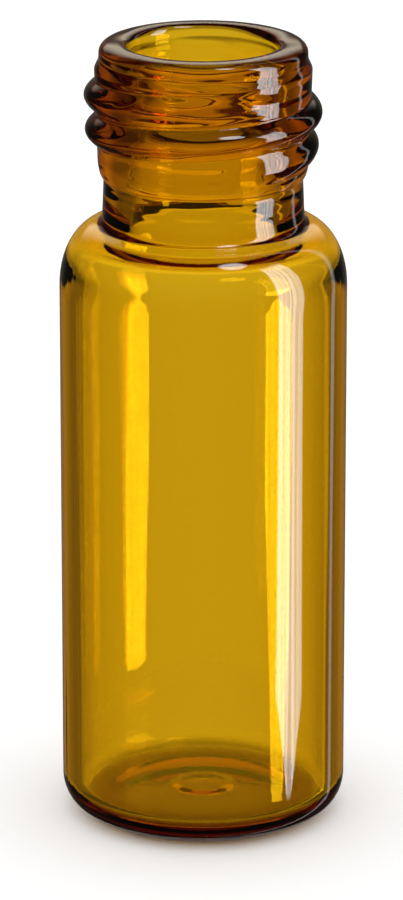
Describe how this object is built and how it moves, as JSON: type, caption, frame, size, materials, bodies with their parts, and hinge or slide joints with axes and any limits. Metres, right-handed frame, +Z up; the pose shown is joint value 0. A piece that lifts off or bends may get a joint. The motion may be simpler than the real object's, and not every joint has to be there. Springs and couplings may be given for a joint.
{
  "type": "glass sample vial",
  "caption": "Small amber glass sample vial with a screw-thread neck, rounded shoulder, open mouth and thick rounded base; no cap.",
  "frame": {"origin": "centre of the base, on the plane that the vial stands on", "axes": "+Z up the vial's axis, out of the mouth; the thread starts 78 degrees from +X towards -Y"},
  "size_m": [0.0116, 0.0116, 0.0323],
  "materials": {
    "amber_glass": "clear amber, polished"
  },
  "bodies": {
    "root": {"vial": "amber_glass"}
  },
  "joints": []
}
